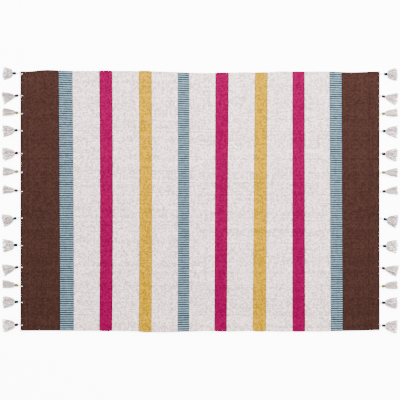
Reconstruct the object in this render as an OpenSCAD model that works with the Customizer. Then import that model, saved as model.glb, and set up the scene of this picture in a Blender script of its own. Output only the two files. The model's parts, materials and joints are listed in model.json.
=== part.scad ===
// Hand-woven cotton bath mat. Coloured weft is beaten over a straight warp into bands, each end of the
// cloth is turned under and stitched down as a hem, and a row of tassels is sewn along each hem.
//
// X runs along the warp, Y along the weft and Z up. The origin is the middle of the underside, and the
// mat lies flat with its tassels down. All sizes are in millimetres.

/* [Cloth] */
// Width of the cloth, from selvedge to selvedge
mat_w = 600; // [480:1:760]
// Thickness of the weave
cloth_t = 3; // [2.4:0.1:3.8]
// Thickness of the warp, the layer of straight cords inside the weave
warp_t = 1; // [0.6:0.1:1.4]
// Depth of weft that turns round the last warp cord at each selvedge
selvedge_w = 3; // [1.5:0.1:6]

/* [Bands] */
// Plain width of the brown band at each end
brown_w = 90; // [70:1:120]
// Plain width of a blue check band
check_w = 30; // [20:1:45]
// Plain width of an undyed band
natural_w = 60; // [40:1:90]
// Plain width of a pink or a mustard stripe
stripe_w = 30; // [20:1:45]

/* [Hems] */
// How much of each end is turned under
hem_w = 20; // [14:0.5:30]
// Length of the slope where the cloth steps up onto the hem
hem_slope = 8; // [5:0.5:12]
// Gap between the two layers of a hem
hem_gap = 0.2; // [0.1:0.05:0.4]
// Distance of the hem's seam from the turned edge
seam_inset = 4; // [2.5:0.5:6]
// Length of one stitch of the seam
stitch_len = 6; // [4:0.5:10]
// Thickness of the sewing thread
thread_t = 0.8; // [0.5:0.1:1]

/* [Tassel fixings] */
// Distance of the first and last tassel from the selvedges
tassel_inset = 9.5; // [6:0.5:20]
// Diameter of the bar of thread that a tassel hangs on
bar_d = 1; // [0.8:0.1:1.4]
// Distance between the two legs of a tassel's stitch
leg_gap = 3.4; // [3:0.1:5]
// How far inside the edge a tassel's stitch goes through the hem
stitch_in = 5.5; // [3:0.5:8]

/* [Tassels] */
// Length of a tassel, from the bar it hangs on to the tip of its skirt
tassel_len = 40.5; // [32:0.5:56]
// Diameter of the cord that loops round the bar
cord_d = 1.2; // [0.9:0.1:1.5]
// Length of bare cord between its loop and the binding
cord_free = 0.9; // [0.6:0.1:5]
// Diameter of the twisted cord that goes into the tassel's head
shank_d = 1.8; // [1.4:0.1:2.2]
// Diameter of the tassel's neck, inside the binding
neck_d = 4.6; // [3.4:0.1:5.4]
// Outside diameter of the coloured binding
binding_d = 7.2; // [5.8:0.1:8]
// Length of the coloured binding
binding_len = 8; // [4:0.5:10]
// Thickness of a skirt at its tip
skirt_tip_t = 3.2; // [2:0.1:4]

/* [Hidden] */
$fn = 32;
SIDES = ["left", "right"];

BROWN = [0.34, 0.21, 0.18];
BLUE_CHECK = [0.54, 0.60, 0.63];
NATURAL = [0.87, 0.85, 0.84];
PINK = [0.71, 0.13, 0.37];
MUSTARD = [0.84, 0.69, 0.31];
WARP = [0.80, 0.76, 0.70];
WHITE_THREAD = [0.93, 0.91, 0.89];
BROWN_THREAD = [0.29, 0.18, 0.15];
TEAL = [0.12, 0.24, 0.28];
PLUM = [0.33, 0.10, 0.22];
OCHRE = [0.66, 0.57, 0.33];

// The bands from left to right, each with how much wider than its plain width the hand loom left it.
BANDS = [
    ["brown", 0], ["check", 2], ["natural", 0], ["pink", 0], ["natural", 1], ["mustard", 0],
    ["natural", 0], ["check", -3], ["natural", -1], ["pink", 0], ["natural", 0], ["mustard", 0],
    ["natural", -1], ["pink", -1], ["natural", -2], ["check", -2], ["brown", -3]
];
LAST_BAND = len(BANDS) - 1;

// The tassels of one row, from the +Y end: colour of the binding, how far the tassel is sewn from its
// even spacing, the angle that it lies askew, how much longer its bare cord is than the others', how
// late its skirt opens (1 is a straight fan, and less is a bell), and the skirt's width at the tip.
TASSELS = [
    [TEAL, 5, -1, 5, 0.35, 27], [PLUM, 3, -11, 0, 0.85, 27], [OCHRE, 10, 4, 0, 0.4, 16],
    [TEAL, 19, -3, 1, 0.55, 26], [PLUM, 15, -5, 0, 0.55, 28], [OCHRE, 20, 0, 0, 0.65, 19],
    [PLUM, 24, 5, 1, 0.6, 17], [TEAL, 11, -12, 4, 0.5, 28], [TEAL, -4, -3, 2, 0.35, 28],
    [PLUM, -6, -12, 0, 0.7, 25], [OCHRE, -1, 5, 0, 0.35, 16], [TEAL, 10, -2, 0, 0.5, 26],
    [PLUM, 6, -5, 0, 0.45, 28]
];
TASSEL_COUNT = len(TASSELS);
// How far the tassels of the right row are sewn off those of the left row
RIGHT_ROW_SHIFT = -2;

// Clearance round a thread that passes through the cloth
thread_fit = 0.05;
// Clearance between the bar and the cord's loop, so that the tassel swings freely
swing_fit = 0.05;
// Clearance between the cord's loop and the edge of the mat
edge_fit = 0.2;
// Clearance of the neck and of the shank in what holds them
snug_fit = 0.05;
// How far a stitch stands out of the cloth
thread_proud = 0.5;

function plain_width(kind) =
    kind == "brown" ? brown_w : kind == "check" ? check_w : kind == "natural" ? natural_w : stripe_w;
function band_width(k) = plain_width(BANDS[k][0]) + BANDS[k][1];
function widths_before(k) = k == 0 ? 0 : widths_before(k - 1) + band_width(k - 1);

mat_len = widths_before(LAST_BAND + 1);
function band_x(k) = widths_before(k) - mat_len / 2;

end_x = mat_len / 2;
hem_x = end_x - hem_w;
hem_top = 2 * cloth_t + hem_gap;
hem_mid = hem_top / 2;
fold_r = (cloth_t + hem_gap) / 2;
fold_x = end_x - fold_r - cloth_t / 2;
seam_x = hem_x + seam_inset;

loop_r = bar_d / 2 + swing_fit + cord_d / 2;
hinge_x = end_x + loop_r + cord_d / 2 + edge_fit;
hinge_z = binding_d / 2;
leg_y = leg_gap / 2;

tassel_pitch = (mat_w - 2 * tassel_inset) / (TASSEL_COUNT - 1);
function row_shift(side) = side == "right" ? RIGHT_ROW_SHIFT : 0;
function tassel_y(side, i) =
    mat_w / 2 - tassel_inset - i * tassel_pitch + TASSELS[i][1] + row_shift(side);

function number(i) = str(i < 9 ? "0" : "", i + 1);
function tassel_name(side, i) = str(side, "_tassel_", number(i));
function binding_name(side, i) = str(side, "_binding_", number(i));

// Offset of one point of an open path to its left, mitred between the two stretches that meet there.
function unit(v) = v / norm(v);
function left_of(v) = [-v.y, v.x];
function mitre(path, i) =
    let (
        before = unit(i > 0 ? path[i] - path[i - 1] : path[1] - path[0]),
        after = i < len(path) - 1 ? unit(path[i + 1] - path[i]) : before,
        normal = unit(left_of(before) + left_of(after))
    )
    normal / (normal * left_of(before));

// Outline of a strip of the given thickness that follows an open path.
function strip(path, thickness) = concat(
    [for (i = [0 : len(path) - 1]) path[i] + mitre(path, i) * thickness / 2],
    [for (i = [len(path) - 1 : -1 : 0]) path[i] - mitre(path, i) * thickness / 2]
);

// The middle of the cloth in the XZ plane, from the middle of the mat over the slope, along the top of
// the hem, round the fold and back under it.
right_half = concat(
    [[hem_x - hem_slope, cloth_t / 2], [hem_x, hem_top - cloth_t / 2]],
    [for (a = [90 : -15 : -90]) [fold_x + fold_r * cos(a), hem_mid + fold_r * sin(a)]],
    [[hem_x, cloth_t / 2]]
);
left_half = [for (i = [len(right_half) - 1 : -1 : 0]) [-right_half[i].x, right_half[i].y]];
cloth_path = concat(left_half, right_half);

// One layer of the cloth, folded hems included.
module layer(thickness, width) {
    rotate([90, 0, 0])
        linear_extrude(width, center = true)
            polygon(strip(cloth_path, thickness));
}

// The stretch of the mat's length that band k takes. The end bands run past the folds.
module band_slab(k) {
    spare = 5;
    low = k == 0 ? spare : 0;
    high = k == LAST_BAND ? spare : 0;
    translate([band_x(k) - low, -mat_w / 2 - spare, -spare])
        cube([band_width(k) + low + high, mat_w + 2 * spare, hem_top + 2 * spare]);
}

// Every band of one yarn: the cloth over its stretch, hollow where the warp runs through it.
module bands(kind) {
    difference() {
        intersection() {
            layer(cloth_t, mat_w);
            for (k = [0 : LAST_BAND])
                if (BANDS[k][0] == kind) band_slab(k);
        }
        layer(warp_t, mat_w - 2 * selvedge_w);
    }
}

// A hem's seam: one thread that runs over and under both layers in even stitches.
seam_low = thread_t / 2 + 0.2;
seam_high = hem_top + thread_proud - thread_t / 2;
seam_pairs = floor((mat_w - 2 * stitch_len) / (2 * stitch_len));
seam_path = [
    for (j = [0 : seam_pairs - 1], corner = [[0, seam_low], [0, seam_high], [1, seam_high], [1, seam_low]])
        [(2 * j + corner[0] + 0.5 - seam_pairs) * stitch_len, corner[1]]
];

module seam(fit) {
    for (side = [-1, 1])
        translate([side * seam_x, 0, 0])
            rotate([90, 0, 90])
                linear_extrude(thread_t + 2 * fit, center = true)
                    polygon(strip(seam_path, thread_t + 2 * fit));
}

// A straight run of square thread from one point to another, level or upright.
module thread_run(a, b, thickness) {
    way = b - a;
    turn = way.x == 0 && way.y == 0 ? 0 : atan2(way.y, way.x);
    translate([a.x, a.y, min(a.z, b.z)])
        rotate([0, 0, turn])
            translate([-thickness / 2, -thickness / 2, -thickness / 2])
                cube([norm([way.x, way.y]), 0, abs(way.z)] + [thickness, thickness, thickness]);
}

module thread_path(points, thickness) {
    for (i = [1 : len(points) - 1]) thread_run(points[i - 1], points[i], thickness);
}

// The stitch that holds one tassel, about the middle of its bar. In the left row the thread goes in
// through the fold, slants across inside the hem, comes up through the top layer and runs straight back
// over the edge to the bar. In the right row both legs go in through the fold and are joined inside the
// lower layer, out of sight.
in_x = end_x - stitch_in - hinge_x;
over_x = end_x + thread_t / 2 + thread_fit - hinge_x;
stitch_top = hem_top + thread_proud - thread_t / 2 - hinge_z;
stitch_low = seam_low - hinge_z;
over_stitch = [
    [0, leg_y, 0], [over_x, leg_y, 0], [in_x, -leg_y, 0], [in_x, -leg_y, stitch_top],
    [over_x, -leg_y, stitch_top], [over_x, -leg_y, 0], [0, -leg_y, 0]
];
under_stitch = [
    [0, -leg_y, 0], [in_x, -leg_y, 0], [in_x, -leg_y, stitch_low],
    [in_x, leg_y, stitch_low], [in_x, leg_y, 0], [0, leg_y, 0]
];

module stitch_legs(side, fit) {
    thread_path(side == "left" ? over_stitch : under_stitch, thread_t + 2 * fit);
}

module tassel_stitch(side) {
    rotate([90, 0, 0]) cylinder(d = bar_d, h = leg_gap + thread_t, center = true);
    stitch_legs(side, 0);
}

// Puts its children at a tassel's bar, with X pointing out from the hem.
module at_bar(side, i) {
    translate([hinge_x, tassel_y(side, i), hinge_z]) children();
}

module at_hem(side, i) {
    if (side == "left")
        mirror([1, 0, 0]) at_bar(side, i) children();
    else
        at_bar(side, i) children();
}

// The legs of every tassel's stitch.
module every_stitch_leg(fit) {
    for (side = SIDES, i = [0 : TASSEL_COUNT - 1])
        at_hem(side, i) stitch_legs(side, fit);
}

// The cord of a tassel: a closed loop round the bar and a twisted shank that ends inside the neck.
function binding_start(i) = loop_r + cord_d / 2 + cord_free + TASSELS[i][3];
function skirt_start(i) = binding_start(i) + binding_len + snug_fit;
module cord_loop() {
    rotate([90, 0, 0]) rotate_extrude() translate([loop_r, 0]) circle(d = cord_d);
}

module shank(i, fit) {
    short_of_skirt = 1;
    translate([loop_r, 0, 0])
        rotate([0, 90, 0])
            cylinder(d = shank_d + 2 * fit, h = skirt_start(i) - short_of_skirt - loop_r + fit);
}

// The skirt's outline from above: it opens from the neck to its full width, and ends in a shallow arc.
skirt_step = 0.3;
skirt_root = neck_d / 2 + skirt_step;
module skirt_plan(i) {
    steps = 6;
    tip_half = TASSELS[i][5] / 2;
    sag = 0.2 * tip_half;
    straight = tassel_len - sag - skirt_start(i);
    edge = [
        for (j = [0 : steps])
            let (t = j / steps, half = skirt_root + (tip_half - skirt_root) * pow(t, TASSELS[i][4]))
                [skirt_start(i) + straight * t, half]
    ];
    tip = [for (a = [72 : -18 : -72]) [tassel_len - sag + sag * cos(a), tip_half * sin(a)]];
    polygon(concat(edge, tip, [for (j = [steps : -1 : 0]) [edge[j].x, -edge[j].y]]));
}

// The skirt's outline from the side: it leaves the neck level and comes to rest on the floor.
module skirt_side(i) {
    start = skirt_start(i);
    crown_reach = 10;
    crown_rise = 0.2;
    crown = start + crown_reach;
    rise = skirt_root + crown_rise;
    polygon([
        [start, skirt_root], [crown, rise], [tassel_len, skirt_tip_t - hinge_z],
        [tassel_len, -hinge_z], [crown, -hinge_z], [start, -skirt_root]
    ]);
}

// The skirt, and the round neck that goes back through the binding.
module skirt(i) {
    head = 0.4;
    spare = 5;
    intersection() {
        linear_extrude(4 * hinge_z, center = true) skirt_plan(i);
        rotate([90, 0, 0]) linear_extrude(TASSELS[i][5] + spare, center = true) skirt_side(i);
    }
    translate([binding_start(i) - head, 0, 0])
        rotate([0, 90, 0])
            cylinder(d = neck_d, h = head + binding_len + snug_fit + 1);
}

// One tassel of undyed cotton: its cord, and the neck and skirt that hang from it.
module tassel(side, i) {
    color(NATURAL)
        at_hem(side, i) {
            union() {
                cord_loop();
                rotate([0, 0, TASSELS[i][2]]) shank(i, 0);
            }
            rotate([0, 0, TASSELS[i][2]])
                difference() {
                    skirt(i);
                    shank(i, snug_fit);
                }
        }
}

// The coloured thread wound round a tassel's neck.
module binding(side, i) {
    color(TASSELS[i][0])
        at_hem(side, i)
            rotate([0, 0, TASSELS[i][2]])
                translate([binding_start(i), 0, 0])
                    rotate([0, 90, 0])
                        difference() {
                            cylinder(d = binding_d, h = binding_len);
                            translate([0, 0, -1]) cylinder(d = neck_d + 2 * snug_fit, h = binding_len + 2);
                        }
}

module brown_end_bands() {
    color(BROWN)
        difference() {
            bands("brown");
            seam(thread_fit);
            every_stitch_leg(thread_fit);
        }
}

module blue_check_bands() {
    color(BLUE_CHECK) bands("check");
}

module natural_bands() {
    color(NATURAL) bands("natural");
}

module pink_stripes() {
    color(PINK) bands("pink");
}

module mustard_stripes() {
    color(MUSTARD) bands("mustard");
}

// The warp: one sheet of straight cords, closed in by the weft on every side.
module warp() {
    color(WARP)
        difference() {
            layer(warp_t, mat_w - 2 * selvedge_w);
            seam(thread_fit);
            every_stitch_leg(thread_fit);
        }
}

module hem_seams() {
    color(BROWN_THREAD) seam(0);
}

module tassel_stitches() {
    color(WHITE_THREAD)
        for (side = SIDES, i = [0 : TASSEL_COUNT - 1])
            at_hem(side, i) tassel_stitch(side);
}

brown_end_bands();
blue_check_bands();
natural_bands();
pink_stripes();
mustard_stripes();
warp();
hem_seams();
tassel_stitches();
for (side = SIDES, i = [0 : TASSEL_COUNT - 1])
    tassel(side, i);
for (side = SIDES, i = [0 : TASSEL_COUNT - 1])
    binding(side, i);
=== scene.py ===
# A hand-woven cotton bath mat: a weft-faced flat weave in coloured bands, with a turned and stitched hem
# at each end and a row of tassels sewn along each hem. Lengths are in metres, and MM turns millimetres
# into metres. X runs along the warp, Y along the weft and Z up from the floor.
import json
import math

import bpy
import mathutils
import numpy as np
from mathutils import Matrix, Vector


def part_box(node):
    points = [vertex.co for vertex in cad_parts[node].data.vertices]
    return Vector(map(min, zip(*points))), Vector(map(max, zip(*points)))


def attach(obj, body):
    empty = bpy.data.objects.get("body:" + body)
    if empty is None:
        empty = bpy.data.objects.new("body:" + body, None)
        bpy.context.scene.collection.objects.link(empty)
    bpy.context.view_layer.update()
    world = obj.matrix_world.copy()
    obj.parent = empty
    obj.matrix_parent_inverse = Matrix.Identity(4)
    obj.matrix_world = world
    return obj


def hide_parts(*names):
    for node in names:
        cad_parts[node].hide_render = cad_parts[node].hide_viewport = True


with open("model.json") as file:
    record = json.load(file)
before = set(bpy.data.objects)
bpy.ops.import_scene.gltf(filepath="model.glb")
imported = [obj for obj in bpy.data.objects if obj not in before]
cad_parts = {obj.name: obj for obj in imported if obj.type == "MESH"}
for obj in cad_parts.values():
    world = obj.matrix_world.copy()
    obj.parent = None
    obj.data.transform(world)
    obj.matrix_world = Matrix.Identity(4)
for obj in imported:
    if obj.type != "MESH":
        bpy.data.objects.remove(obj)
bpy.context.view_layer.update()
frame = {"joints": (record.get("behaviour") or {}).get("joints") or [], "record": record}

MM = 0.001
chance = np.random.default_rng(26)

# ---- Camera ----------------------------------------------------------------------------------------
# A long lens straight above the mat, so that the whole mat is seen square on.
VIEW_WIDTH = 0.924
VIEW_CENTRE = (-0.0002, 0.0028)
CAMERA_HEIGHT = 6.0
SENSOR_WIDTH = 36.0

camera_data = bpy.data.cameras.new("camera")
camera_data.sensor_width = SENSOR_WIDTH
camera_data.lens = SENSOR_WIDTH * CAMERA_HEIGHT / VIEW_WIDTH
camera_data.clip_end = 10 * CAMERA_HEIGHT
camera = bpy.data.objects.new("camera", camera_data)
camera.location = (*VIEW_CENTRE, CAMERA_HEIGHT)
bpy.context.collection.objects.link(camera)
bpy.context.scene.camera = camera

# ---- Floor and light -------------------------------------------------------------------------------
# A bright white studio floor and soft light: a pale room all round, and one broad lamp high up beyond
# the far side of the mat, so that its near edge is a little darker. The floor's glow is for the eye
# only. It sheds no light on the mat, so the room lights the undersides.
FLOOR_SIZE = 14.0
FLOOR_Z = -0.3 * MM
FLOOR_COLOUR = (0.90, 0.90, 0.90, 1.0)
PURE_WHITE = (1.0, 1.0, 1.0, 1.0)
FLOOR_GLOW = 8.0
ROOM_LIGHT = 1.6
LAMP_PLACE = (0.4, 1.35, 1.75)
LAMP_SIZE = 1.2
LAMP_POWER = 215.0


def build_mesh(name, points, *face_groups, flat=()):
    """A mesh from points (n, 3) and arrays of faces, each (m, corners). The faces are turned so that the
    signed volume, a sum of p0 . (p1 x p2) over a fan of each face, is positive, which puts their
    fronts outside. Groups whose number is in flat are shaded flat."""
    points = np.asarray(points, dtype=np.float64)
    volume = 0.0
    for faces in face_groups:
        for corner in range(1, faces.shape[1] - 1):
            a, b, c = points[faces[:, 0]], points[faces[:, corner]], points[faces[:, corner + 1]]
            volume += float(np.einsum("ij,ij->", a, np.cross(b, c)))
    groups = [faces[:, ::-1] if volume < 0 else faces for faces in face_groups]
    corners = np.concatenate([np.full(len(faces), faces.shape[1]) for faces in groups])
    smooth = np.concatenate([np.full(len(faces), number not in flat)
                             for number, faces in enumerate(groups)])
    loops = np.concatenate([faces.ravel() for faces in groups]).astype(np.int32)

    mesh = bpy.data.meshes.new(name)
    mesh.vertices.add(len(points))
    mesh.vertices.foreach_set("co", points.astype(np.float32).ravel())
    mesh.loops.add(len(loops))
    mesh.loops.foreach_set("vertex_index", loops)
    mesh.polygons.add(len(corners))
    mesh.polygons.foreach_set("loop_start", (np.cumsum(corners) - corners).astype(np.int32))
    mesh.update(calc_edges=True)
    mesh.polygons.foreach_set("use_smooth", smooth)
    return mesh


def add_object(name, mesh, material):
    """An object at the origin that shows the mesh in the material."""
    mesh.materials.append(material)
    thing = bpy.data.objects.new(name, mesh)
    bpy.context.collection.objects.link(thing)
    return thing


class Value:
    """The output of a material's node. Arithmetic on it, with a number or a Value on either side, adds the
    Math node that does the same."""

    def __init__(self, finish, socket):
        self.finish = finish
        self.socket = socket

    def math(self, operation, first, second=0.0):
        return self.finish.node("ShaderNodeMath", {"operation": operation}, {0: first, 1: second})

    def __add__(self, other):
        return self.math("ADD", self, other)

    def __radd__(self, other):
        return self.math("ADD", other, self)

    def __sub__(self, other):
        return self.math("SUBTRACT", self, other)

    def __rsub__(self, other):
        return self.math("SUBTRACT", other, self)

    def __mul__(self, other):
        return self.math("MULTIPLY", self, other)

    def __rmul__(self, other):
        return self.math("MULTIPLY", other, self)

    def __truediv__(self, other):
        return self.math("DIVIDE", self, other)


class Finish:
    """One material on a Principled shader, whose nodes are added by node()."""

    def __init__(self, name, **constants):
        self.material = bpy.data.materials.new(name)
        self.material.use_nodes = True
        self.tree = self.material.node_tree
        self.shader = self.tree.nodes["Principled BSDF"]
        for socket, value in constants.items():
            self.shader.inputs[socket.replace("_", " ")].default_value = value

    def node(self, kind, settings=None, inputs=None, output=0):
        """Adds a node: its settings first, then the values or links of its sockets, by name or number.
        Returns one output as a Value."""
        made = self.tree.nodes.new(kind)
        for name, value in (settings or {}).items():
            setattr(made, name, value)
        for name, value in (inputs or {}).items():
            if isinstance(value, Value):
                self.tree.links.new(value.socket, made.inputs[name])
            else:
                made.inputs[name].default_value = value
        return Value(self, made.outputs[output])

    def mix(self, factor, first, second):
        """Colour (1 - f) first + f second, with the factor f held between 0 and 1. The numbers are those of
        the Mix node's colour sockets."""
        inputs = {0: factor, 6: first, 7: second}
        return self.node("ShaderNodeMix", {"data_type": "RGBA", "clamp_factor": True}, inputs, 2)

    def scale(self, vector, factors):
        """The vector with each of its parts times its own factor."""
        return self.node("ShaderNodeVectorMath", {"operation": "MULTIPLY"}, {0: vector, 1: factors})

    def part(self, vector, axis):
        """One part of the vector: 0, 1 or 2 for X, Y or Z."""
        return self.node("ShaderNodeSeparateXYZ", None, {0: vector}, axis)

    def noise(self, vector, scale=1.0, detail=2.0, roughness=0.6):
        """Soft noise of 0 to 1, with `scale` features a unit of the vector."""
        inputs = {"Vector": vector, "Scale": scale, "Detail": detail, "Roughness": roughness}
        return self.node("ShaderNodeTexNoise", None, inputs)

    def attribute(self, name):
        """The vector that the mesh keeps under the name."""
        return self.node("ShaderNodeAttribute", {"attribute_name": name}, None, "Vector")

    def feed(self, socket, value):
        """Links the value to the shader's socket."""
        self.tree.links.new(value.socket, self.shader.inputs[socket])

    def bump(self, height, strength, distance):
        """Relief without geometry: distance metres for a height of 1."""
        inputs = {"Height": height, "Strength": strength, "Distance": distance}
        self.feed("Normal", self.node("ShaderNodeBump", None, inputs))


floor_finish = Finish("floor_white", Base_Color=FLOOR_COLOUR, Roughness=0.9,
                      Emission_Color=PURE_WHITE, Emission_Strength=FLOOR_GLOW)
half_floor = FLOOR_SIZE / 2
floor_points = np.array([[x, y, FLOOR_Z] for x, y in
                         ((-half_floor, -half_floor), (half_floor, -half_floor),
                          (half_floor, half_floor), (-half_floor, half_floor))])
floor = add_object("floor", build_mesh("floor", floor_points, np.array([[0, 1, 2, 3]])),
                   floor_finish.material)
floor.visible_diffuse = False
floor.visible_glossy = False

room = bpy.data.worlds.new("room")
room.use_nodes = True
sky = room.node_tree.nodes["Background"]
sky.inputs["Color"].default_value = PURE_WHITE
sky.inputs["Strength"].default_value = ROOM_LIGHT
bpy.context.scene.world = room

lamp_data = bpy.data.lights.new("lamp", "AREA")
lamp_data.energy = LAMP_POWER
lamp_data.size = LAMP_SIZE
lamp = bpy.data.objects.new("lamp", lamp_data)
lamp.location = LAMP_PLACE
aim = mathutils.Vector(LAMP_PLACE).to_track_quat("Z", "Y")
lamp.rotation_euler = aim.to_euler()
bpy.context.collection.objects.link(lamp)

# ---- Lie of the cloth ------------------------------------------------------------------------------
# The loom leaves the bands a little uneven: the stripes lean and bow, and the selvedges swell at the
# thicker yarns. Every piece of the cloth is worked out flat and square, then laid by the same rule.
# Band widths are in mm. A hump is its height in mm, its centre and its spread in metres along X.
BAND_PLAN = (
    ("brown", 90), ("check", 32), ("natural", 60), ("pink", 30), ("natural", 61), ("mustard", 30),
    ("natural", 60), ("check", 27), ("natural", 59), ("pink", 30), ("natural", 60), ("mustard", 30),
    ("natural", 59), ("pink", 29), ("natural", 58), ("check", 28), ("brown", 87),
)
SWELL = {"brown": 0.0, "check": 0.0, "natural": 0.0, "pink": 1.2 * MM, "mustard": 1.2 * MM}
LEAN = ((3.0, 0.10, 0.07), (-1.7, 0.30, 0.06), (-1.9, -0.31, 0.05))
BOW = ((1.8, -0.19, 0.13), (-0.5, 0.40, 0.06))
FAR_HALF = 301.0
FAR_HUMPS = ((-4.9, 0.02, 0.10), (2.6, -0.35, 0.03), (-1.9, 0.35, 0.08), (-3.0, 0.14, 0.03),
             (-1.8, 0.23, 0.04), (-1.2, -0.40, 0.02), (-1.0, 0.35, 0.03))
NEAR_HALF = 299.3
NEAR_HUMPS = ((3.6, -0.09, 0.06), (2.6, 0.23, 0.08), (-1.4, 0.41, 0.03), (1.6, 0.07, 0.03),
              (0.8, -0.02, 0.03), (-1.3, 0.23, 0.03))
WAVE_LIFT = 0.3 * MM
FLAT_END = 0.03

cloth_low, cloth_high = (np.array(corner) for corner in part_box("brown_end_bands"))
cloth_half = (cloth_high[1] - cloth_low[1]) / 2
end_x = cloth_high[0]
hem_top = cloth_high[2]
cloth_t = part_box("natural_bands")[1][2]
band_ends = np.concatenate([[0.0], np.cumsum([width for _, width in BAND_PLAN])]) * MM - end_x


def hump(x, centre, spread):
    """exp(-((x - centre) / spread)^2), a smooth hump of height 1."""
    return np.exp(-(((x - centre) / spread) ** 2))


def wander(x, plain, humps):
    """A line that is plain mm high, plus the sum of its humps."""
    line = np.full_like(x, plain)
    for height, centre, spread in humps:
        line = line + height * hump(x, centre, spread)
    return line


def lay(x, y, z):
    """Where a point of the square, flat cloth lies. With v = y / half width, x moves by v times the lean
    and by 1 - v^2 times the bow. y is stretched to the selvedge's own line, a plain half width plus a
    few humps, and to each band's swelling, 1 - u^4 across the band. z is lifted by 1.6 waves' heights
    plus the waves: a product of two slow sines, one along the cloth and one mostly across it, and 0.6
    of a quicker one. The lift dies away at both ends."""
    across = y / cloth_half
    new_x = x + (wander(x, 0.0, LEAN) * across + wander(x, 0.0, BOW) * (1 - across**2)) * MM

    swell = np.zeros_like(x)
    for (kind, _), left, right in zip(BAND_PLAN, band_ends[:-1], band_ends[1:]):
        place = np.clip((2 * x - left - right) / (right - left), -1, 1)
        swell = swell + SWELL[kind] * (1 - place**4)
    half = np.where(y > 0, wander(x, FAR_HALF, FAR_HUMPS), wander(x, NEAR_HALF, NEAR_HUMPS)) * MM + swell
    new_y = across * half

    slow = np.sin(x * 27 + 1.0 + 2 * across) * np.sin(across * 9.0 + 5.0 * x)
    quick = np.sin(x * 61 + across * 5)
    wave = slow + 0.6 * quick
    fade = 1 - hump(x, end_x, FLAT_END) - hump(x, -end_x, FLAT_END)
    lift = WAVE_LIFT * (1.6 + wave) * fade
    return np.stack([new_x, new_y, z + np.maximum(lift, 0)], axis=-1)


# ---- Woven cotton ----------------------------------------------------------------------------------
# Plain weave with the weft beaten so close that it hides the warp. Each warp cord raises a rib along X,
# and each pick of weft shows on every other rib as a short bead, so beads stand in brick order.
WARP_PITCH = 2.55 * MM
BEAD_PITCH = 2.6 * MM
RIB_SAMPLES = 4
RIB_HEIGHT = 0.5 * MM
RIB_MIDDLE = 0.55
EDGE_ROUND = 1.5 * MM
EDGE_THIN = 0.06
EDGE_ROWS = np.array([0.0, 0.08, 0.3, 0.7, 1.2]) * MM
# Width of the painted shade line inside each selvedge.
SELVEDGE_SHADE_REACH = 2.5 * MM
GROOVE_DEPTH = 0.35 * MM
GROOVE_WIDTH = 1.4 * MM
LIP = np.array([0.0, 0.5, 1.4, 3.0]) * MM
STATION = 5.5 * MM


def weave_rows():
    """Places of the mesh rows across the mat: a quarter of a rib apart, and closer at the selvedges."""
    quarters = int((cloth_half - EDGE_ROUND) / WARP_PITCH * RIB_SAMPLES)
    middle = np.arange(-quarters, quarters + 1) * WARP_PITCH / RIB_SAMPLES
    edge = cloth_half - EDGE_ROWS
    return np.concatenate([-edge, middle, edge[::-1]])


def rounding(y):
    """Share of the full thickness at y: sqrt(1 - (1 - d / r)^2) at a distance d under r from the edge,
    and never less than EDGE_THIN."""
    depth = np.clip((cloth_half - np.abs(y)) / EDGE_ROUND, 0, 1)
    return np.maximum(np.sqrt(1 - (1 - depth) ** 2), EDGE_THIN)


def woven_sheet(name, path, along, thickness, rib_share, groove, painted_edge_shade):
    """A closed sheet of weave that follows a path in the XZ plane, (n, 2), and runs straight across in Y.
    Its faces lie half the thickness to each side of the path along the path's normal, plus a rib
    |cos(pi y / pitch)| less its middle, scaled by rib_share (n, 2) for the left and right side, less
    groove (n). along is the distance along the weave at each station. The attribute weave keeps along,
    y, and how strongly painted shade darkens the point near an edge: the last argument (n) at the band's
    own edges, or rising from 0 to 1 over a set reach before a selvedge."""
    y = weave_rows()
    slope = np.gradient(path, along, axis=0)
    slope /= np.linalg.norm(slope, axis=1, keepdims=True)
    normal = np.stack([-slope[:, 1], slope[:, 0]], axis=1)
    rib = RIB_HEIGHT * (np.abs(np.cos(np.pi * y / WARP_PITCH)) - RIB_MIDDLE)
    full = rounding(y)

    sides = []
    for side, sign in ((0, 1.0), (1, -1.0)):
        depth = (thickness / 2 - groove)[:, None] + rib_share[:, side, None] * rib
        offset = sign * depth * full
        x = path[:, 0, None] + normal[:, 0, None] * offset
        z = path[:, 1, None] + normal[:, 1, None] * offset
        sides.append(lay(x, np.broadcast_to(y, x.shape), z))
    ring = np.concatenate([sides[0], sides[1][:, ::-1]], axis=1)
    stations, rows = len(path), len(y)
    size = 2 * rows
    first = np.arange(stations - 1)[:, None] * size
    here = np.arange(size)
    after = (here + 1) % size
    skin = np.stack([first + here, first + after, first + size + after, first + size + here], axis=-1)
    top = np.arange(rows - 1)
    low = size - 1 - top
    cap = np.stack([top, low, low - 1, top + 1], axis=-1)
    caps = np.concatenate([cap, cap[:, ::-1] + (stations - 1) * size])
    mesh = build_mesh(name, ring.reshape(-1, 3), skin.reshape(-1, 4), caps, flat=(1,))

    weave = np.zeros((stations, size, 3))
    weave[..., 0] = along[:, None]
    weave[..., 1] = np.concatenate([y, y[::-1]])
    # Strength of the painted edge shade: the given one at the band's own edges, or rising towards a
    # selvedge.
    beside = np.clip(1 - (cloth_half - np.abs(weave[..., 1])) / SELVEDGE_SHADE_REACH, 0, 1)
    weave[..., 2] = np.maximum(painted_edge_shade[:, None], beside)
    layer = mesh.attributes.new("weave", "FLOAT_VECTOR", "POINT")
    layer.data.foreach_set("vector", weave.astype(np.float32).ravel())
    return mesh


def across_band(width):
    """Stations across a flat band: close at its two edges, where the surface dips, and even between."""
    count = max(3, round((width - 2 * LIP[-1]) / STATION) + 1)
    even = np.linspace(LIP[-1], width - LIP[-1], count)
    return np.concatenate([LIP[:-1], even, (width - LIP[:-1])[::-1]])


def edge_dip(distance):
    """How far the surface dips at a distance d from a change of weft: depth (1 - d / width)^2."""
    return GROOVE_DEPTH * np.clip(1 - distance / GROOVE_WIDTH, 0, 1) ** 2


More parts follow.
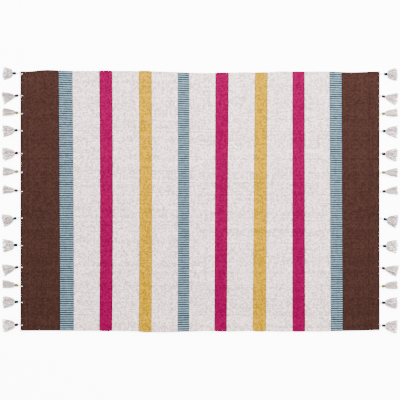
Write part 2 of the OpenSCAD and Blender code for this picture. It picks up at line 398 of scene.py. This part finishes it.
def woven_place(finish):
    """The weave at a point: which bead it is in and how far from the bead's middle it lies, each along
    the rib and across it. Returns the place in mm, the bead's key, its rib's parity, and the two
    distances, -0.5 to 0.5."""
    place = finish.scale(finish.attribute("weave"), (1 / MM, 1 / MM, 1.0))
    rib = finish.part(place, 1) * (MM / WARP_PITCH) + 0.5
    rib_number = finish.node("ShaderNodeMath", {"operation": "FLOOR"}, {0: rib})
    parity = finish.node("ShaderNodeMath", {"operation": "FLOORED_MODULO"}, {0: rib_number, 1: 2.0})
    bead = finish.part(place, 0) * (MM / BEAD_PITCH) + parity * 0.5
    bead_number = finish.node("ShaderNodeMath", {"operation": "FLOOR"}, {0: bead})
    key = finish.node("ShaderNodeCombineXYZ", None, {0: bead_number, 1: rib_number})
    return place, key, parity, bead - bead_number - 0.5, rib - rib_number - 0.5


# Noise features a mm along the warp and across it.
FIBRE_SCALE = (4.0, 1.1, 1.0)
BEAD_RELIEF = 0.5 * MM


def own_tone(finish, key):
    """A random number from 0 to 1 for each key."""
    return finish.node("ShaderNodeTexWhiteNoise", {"noise_dimensions": "2D"}, {"Vector": key})


def weave_tones(finish, place, key):
    """Four tones of 0 to 1: of the fibres in the yarn, and at random of the bead, the rib and the pick."""
    fibre = finish.noise(finish.scale(place, FIBRE_SCALE), detail=3.0, roughness=0.7)
    bead_tone = own_tone(finish, key)
    rib_tone = own_tone(finish, finish.scale(key, (0.0, 1.0, 0.0)))
    pick_tone = own_tone(finish, finish.scale(key, (1.0, 0.0, 0.0)))
    return fibre, bead_tone, rib_tone, pick_tone


def times(colour, factor):
    """The colour with each channel times the factor, up to 1."""
    return (*(min(channel * factor, 1.0) for channel in colour), 1.0)


def bead_hollow(bead_place, rib_place):
    """How deep a point lies between beads: 0.44 e^2 with e = 4 b^2 + 4 r^2, so it is greatest where four
    beads meet. The weave finishes darken their colour by it as painted shade."""
    reach = (bead_place * bead_place + rib_place * rib_place) * 4.0
    return reach * reach * 0.44


def weave_relief(finish, bead_place, rib_place, fibre):
    """Bump of one bead, a dome (1 - 4 b^2)(1 - 2 r^2), with the fibres of its yarn on it."""
    dome = (1.0 - bead_place * bead_place * 4.0) * (1.0 - rib_place * rib_place * 2.0)
    finish.bump(dome + fibre * 0.4, 0.8, BEAD_RELIEF)


COTTON_ROUGHNESS = 0.95
BLOTCH_SCALE = (0.21, 0.24, 0.0)
PATCH_SCALE = (0.03, 0.04, 0.0)
TONE_CENTRE = 1.425


def woven_finish(name, colour, spread, edge_shade):
    """Cotton weft of a colour, given as linear values. Its tone strays by up to spread to each side: by
    the bead, the rib, the pick, and in blotches of about 5 mm where the yarn runs thick and thin. The
    tone is centred, so that noises of 0.5 give the colour itself. Painted shade darkens the hollows
    between beads, and, by edge_shade, a line of painted shade darkens the cloth beside an edge."""
    finish = Finish(name, Roughness=COTTON_ROUGHNESS, Specular_IOR_Level=0.0)
    place, key, _, bead_place, rib_place = woven_place(finish)
    blotch = finish.noise(finish.scale(place, BLOTCH_SCALE))
    patch = finish.noise(finish.scale(place, PATCH_SCALE))
    fibre, bead_tone, rib_tone, pick_tone = weave_tones(finish, place, key)
    tone = blotch * 0.6 + patch * 0.5 + fibre * 0.5
    tone = tone + bead_tone * 1.5 + rib_tone * 0.5 + pick_tone * 0.25
    varied = finish.mix(tone - TONE_CENTRE, times(colour, 1 - spread), times(colour, 1 + spread))
    # Painted shade: the hollows between beads are mixed towards 0.4 of the colour.
    painted_hollow_shade = bead_hollow(bead_place, rib_place)
    shaded = finish.mix(painted_hollow_shade * 0.5, varied, times(colour, 0.4))
    # Painted shade: near an edge the colour is mixed towards 0.3 of itself.
    painted_edge_shade = finish.part(place, 2) * edge_shade
    finish.feed("Base Color", finish.mix(painted_edge_shade, shaded, times(colour, 0.3)))
    weave_relief(finish, bead_place, rib_place, fibre)
    return finish


# Each cotton's colour, the spread of its tone, and how much painted shade darkens it beside an edge.
COTTON = {
    "brown": ((0.0287, 0.0124, 0.0098), 0.26, 0.6),
    "natural": ((0.660, 0.536, 0.516), 0.40, 0.15),
    "pink": ((0.136, 0.0002, 0.033), 0.22, 0.4),
    "mustard": ((0.325, 0.175, 0.0002), 0.34, 0.3),
}
NODES = {
    "brown": "brown_end_bands", "check": "blue_check_bands", "natural": "natural_bands",
    "pink": "pink_stripes", "mustard": "mustard_stripes",
}
cloth_finish = {kind: woven_finish("cotton_" + kind, *facts) for kind, facts in COTTON.items()}

CHECK_PALE = (0.190, 0.265, 0.315)
CHECK_DARK = (0.006, 0.015, 0.022)
SLIP_SCALE = (0.09, 0.20, 0.0)


def check_finish():
    """Cotton woven pick and pick: dark and pale blue picks in turn, so every other rib is dark. How dark
    strays by the rib, the bead and the pick, and fades in patches where the picks have slipped."""
    finish = Finish("cotton_check", Roughness=COTTON_ROUGHNESS, Specular_IOR_Level=0.0)
    place, key, parity, bead_place, rib_place = woven_place(finish)
    fibre, bead_tone, rib_tone, pick_tone = weave_tones(finish, place, key)
    slip = finish.noise(finish.scale(place, SLIP_SCALE))
    dark_rib = 0.95 + rib_tone * 0.1
    pale_rib = rib_tone * 0.15 - 0.05
    dark_share = parity * dark_rib + (1.0 - parity) * pale_rib
    dark_share = dark_share + slip * 0.8 + bead_tone * 0.3 + pick_tone * 0.1 - 0.41
    pale = finish.mix(fibre, times(CHECK_PALE, 0.8), times(CHECK_PALE, 1.2))
    colour = finish.mix(dark_share, pale, (*CHECK_DARK, 1.0))
    # Painted shade: the hollows between beads are mixed towards the dark blue.
    painted_hollow_shade = bead_hollow(bead_place, rib_place)
    finish.feed("Base Color", finish.mix(painted_hollow_shade * 0.6, colour, (*CHECK_DARK, 1.0)))
    weave_relief(finish, bead_place, rib_place, fibre)
    return finish


cloth_finish["check"] = check_finish()

# ---- Flat bands ------------------------------------------------------------------------------------
# Undyed, pink, mustard and blue check weft. Each band is a flat stretch of the one cloth, so its two
# faces, its selvedges and the joins to its neighbours follow the same ribs.
# Width of the painted shade line beside each join between bands.
JOIN_SHADE_REACH = 2 * MM
band_count = {}
for (kind, width), left in zip(BAND_PLAN, band_ends):
    if kind == "brown":
        continue
    band_count[kind] = band_count.get(kind, 0) + 1
    name = f"{kind}_band_{band_count[kind]}"
    steps = across_band(width * MM)
    from_join = np.minimum(steps, width * MM - steps)
    path = np.stack([left + steps, np.full(len(steps), cloth_t / 2)], axis=1)
    # Painted shade: darkest at the joins to the neighbouring bands.
    painted_edge_shade = np.clip(1 - from_join / JOIN_SHADE_REACH, 0, 1)
    full_ribs = np.ones((len(steps), 2))
    mesh = woven_sheet(name, path, left + steps, cloth_t, full_ribs, edge_dip(from_join), painted_edge_shade)
    band = add_object(name, mesh, cloth_finish[kind].material)
    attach(band, "mat")
    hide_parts(NODES[kind])

# ---- Brown end bands and their hems ----------------------------------------------------------------
# The brown weft runs on to the end of the cloth, which is turned under once and stitched down. The top
# steps up onto the hem, rounds the fold and comes back underneath to the cut edge.
HEM_WIDTH = 20 * MM
HEM_SLOPE = 8 * MM
SEAM_INSET = 4 * MM
SEAM_SIDE = 1.5 * MM
SEAM_STATIONS = np.array([-0.8, 0, 0.8]) * MM
PUCKER_DEPTH = 0.45 * MM
PUCKER_SPREAD = 1.3 * MM
# Spread of the painted shade line round the outer fold of each hem.
FOLD_SHADE_SPREAD = 3.5 * MM
HIDDEN_RIB = 0.05
hem_x = end_x - HEM_WIDTH
seam_x = hem_x + SEAM_INSET
fold_r = (hem_top - cloth_t) / 2
fold_x = end_x - hem_top / 2


def hem_path(start_x):
    """Centre line of an end band from start_x out to the cut edge, in stretches: flat, a step up by
    (1 - cos(pi s)) / 2, the top of the hem, half a circle round the fold, and flat again underneath.
    Returns the line and, for each of its points, 1 where the hem hides the inner face or else 0."""
    flat_end = hem_x - HEM_SLOPE
    flat_z = cloth_t / 2
    top_z = hem_top - flat_z
    flat = start_x + np.concatenate([LIP[:-1], np.linspace(LIP[-1], flat_end - start_x, 10)])
    step = np.linspace(0, 1, 8)[1:]
    rise = (1 - np.cos(np.pi * step)) / 2
    to_seam = np.linspace(hem_x, seam_x - SEAM_SIDE, 3)[1:]
    to_fold = np.linspace(seam_x + SEAM_SIDE, fold_x, 5)
    top = np.concatenate([to_seam, seam_x + SEAM_STATIONS, to_fold])
    turn = np.radians(np.linspace(90, -90, 11))[1:-1]
    under = np.linspace(fold_x, hem_x, 6)
    x = np.concatenate([flat, flat_end + HEM_SLOPE * step, top, fold_x + fold_r * np.cos(turn), under])
    z = np.concatenate([np.full(len(flat), flat_z), flat_z + (top_z - flat_z) * rise,
                        np.full(len(top), top_z), hem_top / 2 + fold_r * np.sin(turn),
                        np.full(len(under), flat_z)])
    open_points = len(flat) + len(step)
    hidden = (np.arange(len(x)) >= open_points).astype(float)
    return np.stack([x, z], axis=1), hidden


for side, sign, start_x in (("left", -1, -band_ends[1]), ("right", 1, band_ends[-2])):
    path, hidden = hem_path(start_x)
    along = start_x + np.concatenate([[0.0], np.cumsum(np.linalg.norm(np.diff(path, axis=0), axis=1))])
    on_top = path[:, 1] > hem_top / 2
    pucker = PUCKER_DEPTH * hump(path[:, 0], seam_x, PUCKER_SPREAD)
    groove = edge_dip(path[:, 0] - start_x) + np.where(on_top, pucker, 0)
    rib_share = np.stack([np.ones(len(path)), 1 - hidden * (1 - HIDDEN_RIB)], axis=1)
    if sign < 0:
        rib_share = rib_share[:, ::-1]
    name = f"brown_end_band_{side}"
    # Painted shade: darkest at the join to the neighbouring band and round the outer fold.
    painted_edge_shade = np.clip(1 - (path[:, 0] - start_x) / JOIN_SHADE_REACH, 0, 1) + hump(path[:, 0], end_x, FOLD_SHADE_SPREAD)
    mesh = woven_sheet(name, path * (sign, 1), along, cloth_t, rib_share, groove, np.clip(painted_edge_shade, 0, 1))
    band = add_object(name, mesh, cloth_finish["brown"].material)
    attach(band, "mat")
    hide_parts("brown_end_bands")
    flat_width = along[-1] - along[0]

# ---- Warp ------------------------------------------------------------------------------------------
# Straight undyed cords, one under each rib, closed in by the weft. They run the whole way, round both
# folds to the cut edges.
WARP_RADIUS = 0.5 * MM
WARP_SIDES = 4
WARP_COLOUR = (0.62, 0.55, 0.46)
YARN_FIBRE_SCALE = 1600.0


def tubes(paths, radii, sides, reference, closed=False):
    """Round tubes along many paths at once. paths is (m, k, 3) and radii broadcasts to (m, k). Each ring
    lies in the plane of two directions: s = t x reference and s x t, where t is the path's direction.
    Returns points, the skin's quads and, on open tubes, one end face with `sides` corners a tube end."""
    count, steps = paths.shape[:2]
    if closed:
        direction = np.roll(paths, -1, axis=1) - np.roll(paths, 1, axis=1)
    else:
        direction = np.gradient(paths, axis=1)
    direction /= np.linalg.norm(direction, axis=2, keepdims=True)
    side = np.cross(direction, np.broadcast_to(np.asarray(reference, dtype=float), direction.shape))
    side /= np.linalg.norm(side, axis=2, keepdims=True)
    up = np.cross(side, direction)
    angle = np.arange(sides) * 2 * np.pi / sides
    ring = (side[:, :, None] * np.cos(angle)[None, None, :, None]
            + up[:, :, None] * np.sin(angle)[None, None, :, None])
    radii = np.broadcast_to(radii, (count, steps))
    points = paths[:, :, None] + ring * radii[:, :, None, None]
    number = np.arange(count * steps * sides).reshape(count, steps, sides)
    here, beside = number, np.roll(number, -1, axis=2)
    if closed:
        ahead, ahead_beside = np.roll(here, -1, axis=1), np.roll(beside, -1, axis=1)
        skin = np.stack([here, beside, ahead_beside, ahead], axis=-1).reshape(-1, 4)
        return points.reshape(-1, 3), [skin]
    skin = np.stack([here[:, :-1], beside[:, :-1], beside[:, 1:], here[:, 1:]], axis=-1).reshape(-1, 4)
    ends = np.concatenate([number[:, 0, ::-1], number[:, -1]])
    return points.reshape(-1, 3), [skin, ends]


def yarn_finish(name, colour, spread, twist, relief=0.1 * MM):
    """Twisted cotton yarn. The attribute yarn is (distance along in mm, turns round, a number of the
    yarn's own). The plies are sin(2 pi (along / twist + turns)), and the yarn's own number shifts its
    tone, which strays from the colour by up to spread to each side."""
    finish = Finish(name, Roughness=COTTON_ROUGHNESS, Specular_IOR_Level=0.0)
    yarn = finish.attribute("yarn")
    along = finish.part(yarn, 0)
    around = finish.part(yarn, 1)
    own = finish.part(yarn, 2)
    phase = (along / twist + around) * (2 * math.pi)
    ply = finish.node("ShaderNodeMath", {"operation": "SINE"}, {0: phase}) * 0.5 + 0.5
    coordinates = finish.node("ShaderNodeTexCoord", None, None, "Object")
    fibre = finish.noise(coordinates, YARN_FIBRE_SCALE, detail=3.0, roughness=0.7)
    tone = ply * 0.3 + fibre * 0.4 + own * 0.9 - 0.3
    finish.feed("Base Color", finish.mix(tone, times(colour, 1 - spread), times(colour, 1 + spread)))
    finish.bump(ply + fibre * 0.5, 0.6, relief)
    return finish


def mark_yarn(mesh, along, sides, own):
    """Stores the attribute yarn: along (m, k) is the distance along each tube in mm, the share of a
    turn comes from the ring's corner, and own (m) is each tube's number."""
    count, steps = along.shape
    values = np.zeros((count, steps, sides, 3))
    values[..., 0] = along[:, :, None]
    values[..., 1] = np.arange(sides) / sides
    values[..., 2] = np.asarray(own)[:, None, None]
    layer = mesh.attributes.new("yarn", "FLOAT_VECTOR", "POINT")
    layer.data.foreach_set("vector", values.astype(np.float32).ravel())


def run_length(paths):
    """Distance along each of many paths, in mm."""
    steps = np.linalg.norm(np.diff(paths, axis=1), axis=2)
    return np.concatenate([np.zeros((len(paths), 1)), np.cumsum(steps, axis=1)], axis=1) / MM


# Half a warp cord: an end band's centre line from just off the middle of the mat, without the cut end.
half_path = hem_path(0.0)[0][len(LIP) - 1:-1]
whole_path = np.concatenate([(half_path * (-1, 1))[::-1], half_path])
cord_count = int((cloth_half - EDGE_ROUND) / WARP_PITCH)
cord_y = np.arange(-cord_count, cord_count + 1) * WARP_PITCH
cord_x = np.broadcast_to(whole_path[:, 0], (len(cord_y), len(whole_path)))
cord_z = np.broadcast_to(whole_path[:, 1], cord_x.shape)
warp_paths = lay(cord_x, np.broadcast_to(cord_y[:, None], cord_x.shape), cord_z)
warp_points, warp_faces = tubes(warp_paths, WARP_RADIUS, WARP_SIDES, (0, 1, 0))
warp_mesh = build_mesh("warp_cords", warp_points, *warp_faces)
mark_yarn(warp_mesh, run_length(warp_paths), WARP_SIDES, chance.random(len(cord_y)))
warp_cotton = yarn_finish("cotton_warp", WARP_COLOUR, spread=0.2, twist=2.0)
warp = add_object("warp_cords", warp_mesh, warp_cotton.material)
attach(warp, "mat")
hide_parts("warp")

# ---- Hem seams -------------------------------------------------------------------------------------
# Brown sewing thread in even running stitches, through both layers of the hem. Only the stitches on top
# are seen, and each dives into the cloth at its two ends.
STITCH = 6 * MM
STITCH_LAP = 0.3 * MM
STITCH_SUNK = 0.15 * MM
STITCH_DIVE = 1.6 * MM
THREAD_RADIUS = 0.42 * MM
THREAD_SIDES = 6
THREAD_BROWN = (0.020, 0.009, 0.007)
SEWING_STRAY_X = 0.12 * MM
SEWING_STRAY_Y = 0.15 * MM
thread_brown = yarn_finish("thread_brown", THREAD_BROWN, spread=0.4, twist=1.6)
stitch_pairs = int((2 * cloth_half - 2 * STITCH) / (2 * STITCH))
stitch_share = np.linspace(-1, 1, 9)
for side, sign in (("left", -1), ("right", 1)):
    middle_y = (2 * np.arange(stitch_pairs) + 1 - stitch_pairs) * STITCH
    stitch_y = middle_y[:, None] + stitch_share * (STITCH / 2 + STITCH_LAP)
    stitch_y = stitch_y + chance.normal(0, SEWING_STRAY_Y, (stitch_pairs, 1))
    stitch_x = np.full(stitch_y.shape, sign * seam_x)
    stitch_x = stitch_x + chance.normal(0, SEWING_STRAY_X, (stitch_pairs, 1))
    stitch_z = hem_top - STITCH_SUNK - STITCH_DIVE * np.abs(stitch_share) ** 6
    stitch_z = np.broadcast_to(stitch_z, stitch_y.shape)
    stitch_paths = lay(stitch_x, stitch_y, stitch_z)
    points, faces = tubes(stitch_paths, THREAD_RADIUS, THREAD_SIDES, (0, 0, 1))
    mesh = build_mesh("hem_seam_" + side, points, *faces)
    mark_yarn(mesh, run_length(stitch_paths), THREAD_SIDES, chance.random(stitch_pairs))
    seam = add_object("hem_seam_" + side, mesh, thread_brown.material)
    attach(seam, "mat")
    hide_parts("hem_seams")

# ---- Stitches that hold the tassels ----------------------------------------------------------------
# One white stitch a tassel, with a straight bar outside the edge that the tassel's cord runs on. In the
# left row the thread goes in through the fold, comes up through the top of the hem and runs straight
# back over the edge. In the right row it turns inside the hem, so that only the bar is seen.
BAR_RADIUS = 0.47 * MM
BAR_SIDES = 8
LEG_Y = 1.7 * MM
STITCH_IN = 5.5 * MM
STITCH_LOW = 0.6 * MM
BESIDE_LOOP = 1.9 * MM
CLEAR_OF_FOLD = 0.45 * MM
CLEAR_OF_TOP = 0.25 * MM
FOLD_ANGLES = np.radians((80, 55, 30, 5))
STITCH_PLUMP = 0.2
LOOP_STEPS = 56
LOOP_STEP_MM = 0.4
THREAD_WHITE = (0.90, 0.87, 0.86)
# A direction that no run of a stitch follows, for its tube's rings.
STITCH_REFERENCE = (0.2, 0.1, 1.0)
joints = {joint["child"]: np.array(joint["pos_m"], dtype=float) for joint in frame["joints"]}
thread_white = yarn_finish("thread_white", THREAD_WHITE, spread=0.08, twist=1.8)


def rounded_loop(corners, steps, passes):
    """A closed path through the corners: `steps` points evenly spaced along the straight runs, and then
    each point replaced, `passes` times, by a quarter of each neighbour and half of itself."""
    ends = np.concatenate([corners, corners[:1]])
    reach = np.concatenate([[0.0], np.cumsum(np.linalg.norm(np.diff(ends, axis=0), axis=1))])
    places = np.linspace(0, reach[-1], steps, endpoint=False)
    path = np.stack([np.interp(places, reach, ends[:, axis]) for axis in range(3)], axis=1)
    for _ in range(passes):
        path = (np.roll(path, 1, axis=0) + np.roll(path, -1, axis=0) + 2 * path) / 4
    return path


def stitch_corners(hinge, sign):
    """Corners of the white stitch, measured from the bar's middle. In the left row (sign -1) the thread
    slants back to its hole, rises to the top of the hem and follows the round fold back to the bar, on
    the circle (cos a, 1 + sin a) of half the hem's height. In the right row it turns low in the hem."""
    hole_x = sign * (end_x - STITCH_IN) - hinge[0]
    if sign > 0:
        low_z = STITCH_LOW - hinge[2]
        return np.array([(0, -LEG_Y, 0), (hole_x, -LEG_Y, 0), (hole_x, -LEG_Y, low_z),
                         (hole_x, LEG_Y, low_z), (hole_x, LEG_Y, 0), (0, LEG_Y, 0)])
    radius = hem_top / 2
    round_fold = [(sign * (fold_x + radius * math.cos(angle) + CLEAR_OF_FOLD) - hinge[0], -LEG_Y,
                   radius * (1 + math.sin(angle)) + CLEAR_OF_TOP - hinge[2]) for angle in FOLD_ANGLES]
    return np.array([(0, LEG_Y, 0), (BESIDE_LOOP, LEG_Y, 0), (hole_x, -LEG_Y, 0),
                     (hole_x, -LEG_Y, hem_top - hinge[2]), *round_fold, (0, -LEG_Y, 0)])


for child, hinge in sorted(joints.items()):
    corners = stitch_corners(hinge, math.copysign(1.0, hinge[0]))
    path = rounded_loop(corners, LOOP_STEPS, 2)[None] + hinge
    raised = np.clip((path[0, :, 2] - hinge[2]) / (hem_top - hinge[2]), 0, 1)
    radii = (BAR_RADIUS * (1 + STITCH_PLUMP * raised))[None]
    points, faces = tubes(path, radii, BAR_SIDES, STITCH_REFERENCE, closed=True)
    name = "stitch_of_" + child
    mesh = build_mesh(name, points, *faces)
    mark_yarn(mesh, np.arange(LOOP_STEPS)[None] * LOOP_STEP_MM, BAR_SIDES, chance.random(1))
    stitch = add_object(name, mesh, thread_white.material)
    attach(stitch, "mat")
    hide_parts("tassel_stitches")

# ---- Tassels ---------------------------------------------------------------------------------------
# A hank of undyed yarns is doubled over a cord and bound at the neck. The cord's loop runs on the bar
# of its stitch. The yarns leave the binding in a round bundle, spread, and come to rest on the floor.
CORD_RADIUS = 0.6 * MM
CORD_SIDES = 10
LOOP_RADIUS = 1.15 * MM
RING_STEPS = 28
RING_STEP_MM = 0.26
PLY_RADIUS = 0.46 * MM
PLY_SIDES = 8
PLY_OFFSET = 0.42 * MM
PLY_LAY = 2.6 * MM
SHANK_STEPS = 14
SHANK_OFF_LOOP = 0.2 * MM
SHANK_IN_BINDING = 1.0 * MM
BINDING_LENGTH = 8.0 * MM
WIND_RADIUS = 0.42 * MM
WIND_SIDES = 6
WIND_STEPS = 20
WIND_WANDER = 0.1 * MM
WIND_PRESSED = 1.05
PLUMP = 0.2 * MM
NECK_RADIUS = 2.25 * MM
HEAD = 0.5 * MM
YARN_RADIUS = 0.48 * MM
YARN_SIDES = 6
YARN_STEPS = 16
YARN_COUNT = 58
YARN_TOP = 3.0 * MM
YARN_TAPER = (0.5, 0.75)
CLUMPS = 9
CLUMP_SHARE = 0.65
CLUMP_WIDTH = 0.85
TIP_OUT = 1.3 * MM
TIP_IN = 1.0 * MM
TIP_STRAY = 0.35 * MM
TIP_CURVE = 0.07
RIPPLE_ACROSS = 0.6 * MM
RIPPLE_UP = 0.3 * MM
# The pile of tips on the floor, in mm: plain, and more in the middle of the fan and of each clump.
PILE, PILE_MIDDLE, PILE_CLUMP = 1.6, 1.0, 0.8
GOLDEN_ANGLE = np.pi * (3 - math.sqrt(5))
# How each tassel of a row opens out below its binding: the lower, the sooner it is wide.
OPENING = (0.27, 0.7, 0.3, 0.42, 0.42, 0.5, 0.45, 0.4, 0.27, 0.6, 0.25, 0.38, 0.35)
TASSEL_COTTON = (0.475, 0.40, 0.385)
BINDING_COLOURS = {
    "teal_thread": (0.0035, 0.0170, 0.0270),
    "plum_thread": (0.0330, 0.0040, 0.0150),
    "ochre_thread": (0.150, 0.105, 0.012),
}
tassel_cotton = yarn_finish("cotton_tassel", TASSEL_COTTON, spread=0.68, twist=1.7, relief=0.12 * MM)
binding_finish = {slot: yarn_finish(slot, colour, spread=0.5, twist=1.4)
                  for slot, colour in BINDING_COLOURS.items()}
slot_of = {row["node"]: row["material_slot"] for row in frame["record"]["subparts"]}


def place_tassel(local, hinge, lean):
    """Turns points from the tassel's own axes, out from the hem, along it and up, by the lean about the
    upright through the bar, and puts them at the hinge."""
    out = local[..., 0] * math.cos(lean) - local[..., 1] * math.sin(lean)
    along_hem = local[..., 0] * math.sin(lean) + local[..., 1] * math.cos(lean)
    sign = math.copysign(1.0, hinge[0])
    return np.stack([hinge[0] + sign * out, hinge[1] + along_hem, hinge[2] + local[..., 2]], axis=-1)


def rank(values):
    """Each value's place in the sorted order, from 0 for the lowest to 1 for the highest."""
    return np.argsort(np.argsort(values)) / (len(values) - 1)


def skirt_paths(length, spread, opening, bound, floor):
    """Yarns of one skirt in the tassel's own axes. They fill the round neck as a sunflower's seeds do,
    and each yarn's order across the neck, -1 to 1, is its order across the fan. Each starts in the
    round head, runs straight through the binding, which ends at bound, and moves to its own place in
    the fan by t^opening across and 3t^2 - 2t^3 down. Neighbours lie in clumps, the outer yarns are a
    little shorter, and a slow ripple grows from nothing at the neck. Returns the paths and each
    yarn's clump."""
    number = np.arange(YARN_COUNT) + 0.5
    radius = (NECK_RADIUS - YARN_RADIUS) * np.sqrt(number / YARN_COUNT)
    angle = number * GOLDEN_ANGLE
    neck_y, neck_z = radius * np.cos(angle), radius * np.sin(angle)
    order = rank(neck_y) * 2 - 1
    clump = np.minimum((order + 1) / 2 * CLUMPS, CLUMPS - 1).astype(int)
    centre = (clump + 0.5) / CLUMPS * 2 - 1
    order = centre + (order - centre) * CLUMP_WIDTH
    tip_y = order * (spread / 2 + TIP_OUT) + chance.normal(0, TIP_STRAY, YARN_COUNT)
    layer = rank(neck_z)
    crown = 1 - ((order - centre) * CLUMPS) ** 2
    pile = PILE + PILE_MIDDLE * (1 - order**2) + PILE_CLUMP * crown
    tip_z = floor + YARN_RADIUS + layer * pile * MM
    clump_reach = chance.normal(0, 0.7, CLUMPS)[clump]
    stray = (chance.normal(-0.5, 0.8, YARN_COUNT) + clump_reach) * MM
    reach = length - TIP_CURVE * spread * order**2 + stray
    reach = (np.minimum(reach, length + 0.8 * MM) - TIP_IN)[:, None]

    start = bound - BINDING_LENGTH - HEAD
    head = np.array([0.0, 0.4, 1.0]) * HEAD + start
    share = np.linspace(0, 1, YARN_STEPS - len(head)) ** 1.3
    heads = np.broadcast_to(head, (YARN_COUNT, len(head)))
    u = np.concatenate([heads, bound + share * (reach - bound)], axis=1)
    closing = np.sqrt(np.clip(1 - (1 - (u - start) / HEAD) ** 2, 0, 1))
    closing = np.where(u < start + HEAD, closing, 1.0) * 0.8 + 0.2
    t = np.clip((u - bound) / (reach - bound), 0, 1)
    across = t**opening
    down = 3 * t**2 - 2 * t**3
    puff_height = ((layer - 0.3) * 2.0 + 0.5 * crown)[:, None]
    puff = np.sin(np.pi * np.clip(t * 1.1, 0, 1)) * puff_height * MM
    y = neck_y[:, None] * closing * (1 - across) + tip_y[:, None] * across
    z = neck_z[:, None] * closing * (1 - down) + tip_z[:, None] * down + puff
    phase = chance.random((3, YARN_COUNT)) * 2 * np.pi
    y = y + RIPPLE_ACROSS * t * np.sin(t * (7 + phase[2, :, None]) + phase[0, :, None])
    z = z + RIPPLE_UP * t * np.sin(t * 9 + phase[1, :, None])
    z = np.clip(z, floor + YARN_RADIUS, YARN_TOP)
    return np.stack([u, y, z], axis=-1), clump


def ring_paths():
    """The cord's loop in the tassel's own axes: a circle (r cos a, 0, r sin a) about the bar."""
    turn = np.linspace(0, 2 * np.pi, RING_STEPS, endpoint=False)
    return np.stack([LOOP_RADIUS * np.cos(turn), 0 * turn, LOOP_RADIUS * np.sin(turn)], axis=-1)[None]


def shank_paths(binding_start):
    """The cord's two plies from its loop into the binding: helices half a turn apart."""
    far = np.linspace(LOOP_RADIUS + SHANK_OFF_LOOP, binding_start + SHANK_IN_BINDING, SHANK_STEPS)
    twist = far / PLY_LAY * 2 * np.pi
    plies = [[far, PLY_OFFSET * np.cos(twist + flip), PLY_OFFSET * np.sin(twist + flip)]
             for flip in (0.0, np.pi)]
    return np.array(plies).transpose(0, 2, 1)


def winding_paths(binding_start, binding_radius):
    """The binding's thread: one helix with its turns side by side, its radius slowly wandering."""
    turns = BINDING_LENGTH / (2 * WIND_RADIUS)
    wind = np.linspace(0, 2 * np.pi * turns, int(turns * WIND_STEPS))
    radius = binding_radius - WIND_RADIUS + WIND_WANDER * (np.sin(wind * 0.37) - 1)
    out = binding_start + WIND_RADIUS + (BINDING_LENGTH - 2 * WIND_RADIUS) * wind / wind[-1]
    return np.stack([out, radius * np.cos(wind), radius * np.sin(wind)], axis=-1)[None]


taper = np.ones(YARN_STEPS)
taper[[0, -1]] = YARN_TAPER
for child, hinge in sorted(joints.items()):
    binding_node = child.replace("tassel", "binding")
    low, high = (np.array(corner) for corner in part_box(child))
    tied_low, tied_high = (np.array(corner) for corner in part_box(binding_node))
    middle = (tied_low + tied_high) / 2 - hinge
    lean = math.atan2(middle[1], abs(middle[0]))
    binding_start = math.hypot(middle[0], middle[1]) - BINDING_LENGTH / 2
    binding_radius = (tied_high[2] - tied_low[2]) / 2 + PLUMP
    reach = (max(abs(low[0]), abs(high[0])) - abs(hinge[0])) / math.cos(lean)
    spread = (high[1] - low[1]) / math.cos(lean)

    local, clump = skirt_paths(reach, spread, OPENING[int(child[-2:]) - 1],
                               binding_start + BINDING_LENGTH, -hinge[2])
    paths = place_tassel(local, hinge, lean)
    own = CLUMP_SHARE * chance.random(CLUMPS)[clump] + (1 - CLUMP_SHARE) * chance.random(YARN_COUNT)
    points, faces = tubes(paths, YARN_RADIUS * taper, YARN_SIDES, (0, 0, 1))
    mesh = build_mesh(child + "_skirt", points, *faces)
    mark_yarn(mesh, run_length(paths), YARN_SIDES, own)
    skirt = add_object(child + "_skirt", mesh, tassel_cotton.material)

    paths = place_tassel(ring_paths(), hinge, 0.0)
    points, faces = tubes(paths, CORD_RADIUS, CORD_SIDES, (0, 1, 0), closed=True)
    mesh = build_mesh(child + "_loop", points, *faces)
    mark_yarn(mesh, np.arange(RING_STEPS)[None] * RING_STEP_MM, CORD_SIDES, [0.5])
    loop = add_object(child + "_loop", mesh, tassel_cotton.material)

    paths = place_tassel(shank_paths(binding_start), hinge, lean)
    points, faces = tubes(paths, PLY_RADIUS, PLY_SIDES, (0, 0, 1))
    mesh = build_mesh(child + "_cord", points, *faces)
    mark_yarn(mesh, run_length(paths), PLY_SIDES, [0.3, 0.7])
    cord = add_object(child + "_cord", mesh, tassel_cotton.material)

    slot = slot_of[binding_node]
    paths = place_tassel(winding_paths(binding_start, binding_radius), hinge, lean)
    points, faces = tubes(paths, WIND_RADIUS * WIND_PRESSED, WIND_SIDES, (1, 0, 0))
    mesh = build_mesh(binding_node + "_winding", points, *faces)
    mark_yarn(mesh, run_length(paths), WIND_SIDES, [0.5])
    winding = add_object(binding_node + "_winding", mesh, binding_finish[slot].material)

    for piece in (skirt, loop, cord):
        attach(piece, child)
        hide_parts(child)
    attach(winding, child)
    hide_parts(binding_node)
